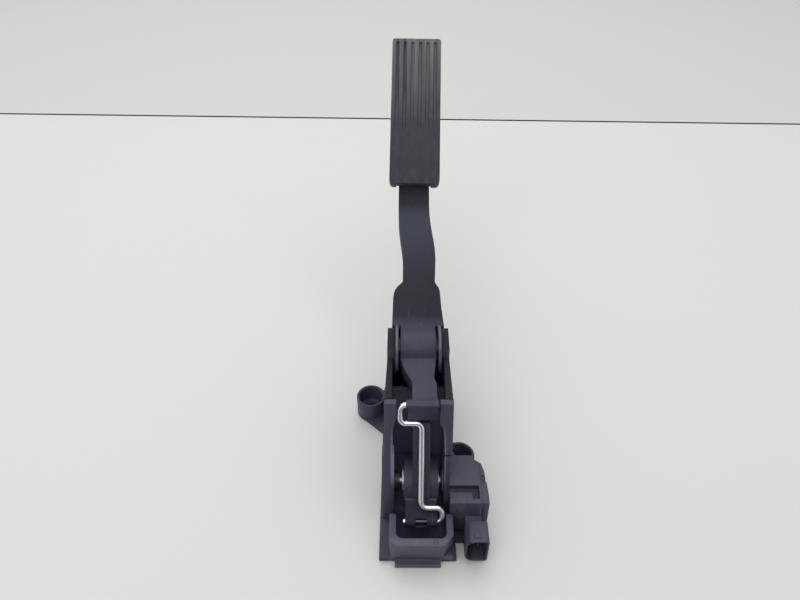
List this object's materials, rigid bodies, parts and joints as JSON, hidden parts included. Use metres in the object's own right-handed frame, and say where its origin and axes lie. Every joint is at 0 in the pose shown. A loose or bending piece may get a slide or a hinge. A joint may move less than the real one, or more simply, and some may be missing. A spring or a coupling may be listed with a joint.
{
  "type": "accelerator pedal",
  "caption": "Electronic accelerator pedal: a sprung pivoting arm with a rubber pad turns a damped drum and position sensor through a bent steel link, in a bolt-down plastic housing.",
  "frame": {"origin": "on the mounting face, under the pedal pivot and midway between the housing's side walls", "axes": "+Z away from the mounting face, +Y from the pivot to the pad, +X to the side that carries the sensor"},
  "size_m": [0.0911, 0.3707, 0.2094],
  "materials": {
    "housing_plastic": "dark grey glass-filled moulding, satin",
    "arm_plastic": "near-black glass-filled moulding, satin",
    "pad_rubber": "dark grey moulded rubber",
    "bumper_rubber": "black rubber",
    "seal_rubber": "red-brown silicone rubber",
    "plain_steel": "turned or stamped steel, lightly oiled",
    "plated_wire": "bright plated steel wire",
    "spring_steel": "dark spring steel",
    "friction_plastic": "dark grey friction plastic",
    "bush_plastic": "dark acetal, slightly glossy",
    "contact_brass": "plated brass",
    "board_laminate": "green glass laminate"
  },
  "bodies": {
    "frame": {"housing": "housing_plastic", "bolt_sleeve_left": "plain_steel", "bolt_sleeve_right": "plain_steel", "pivot_shaft": "plain_steel", "friction_disc_left": "friction_plastic", "friction_disc_right": "friction_plastic", "shaft_clip_left": "plain_steel", "shaft_clip_right": "plain_steel", "axle_bush_left": "bush_plastic", "axle_bush_right": "bush_plastic", "outer_spring": "spring_steel", "inner_spring": "spring_steel", "idle_bumper": "bumper_rubber", "travel_bumper": "bumper_rubber", "sensor_housing": "housing_plastic", "sensor_cover": "housing_plastic", "sensor_seal": "seal_rubber", "circuit_board": "board_laminate", "terminals": "contact_brass", "sensor_screws": "plain_steel"},
    "pedal": {"pedal_arm": "arm_plastic", "pad_rubber": "pad_rubber", "pivot_bush_left": "bush_plastic", "pivot_bush_right": "bush_plastic", "spring_seat": "bush_plastic"},
    "link": {"link_wire": "plated_wire"},
    "drum": {"drum": "housing_plastic", "drum_axle": "plain_steel", "drum_disc_left": "plain_steel", "drum_disc_right": "plain_steel", "axle_clip": "plain_steel", "sensor_rotor": "bush_plastic", "wiper_contacts": "contact_brass"}
  },
  "joints": [
    {"name": "pedal_hinge", "type": "hinge", "parent": "frame", "child": "pedal", "pos_m": [0, 0, 0.094], "axis": [-1, 0, 0], "range_deg": [0, 15], "stiffness_Nm_per_rad": 5, "springref_deg": -45.84, "deforming": ["outer_spring", "inner_spring"]},
    {"name": "link_hinge", "type": "hinge", "parent": "pedal", "child": "link", "pos_m": [0, -0.0425, 0.0873], "axis": [-1, 0, 0], "range_deg": [-16.2, 0.1]},
    {"name": "drum_hinge", "type": "hinge", "parent": "frame", "child": "drum", "pos_m": [0, -0.056, 0.025], "axis": [-1, 0, 0], "range_deg": [0, 21.5]}
  ],
  "couplings": [
    {"joint": "link_hinge", "follows": "pedal_hinge", "ratio": -1.066},
    {"joint": "drum_hinge", "follows": "pedal_hinge", "ratio": 1.4194}
  ]
}
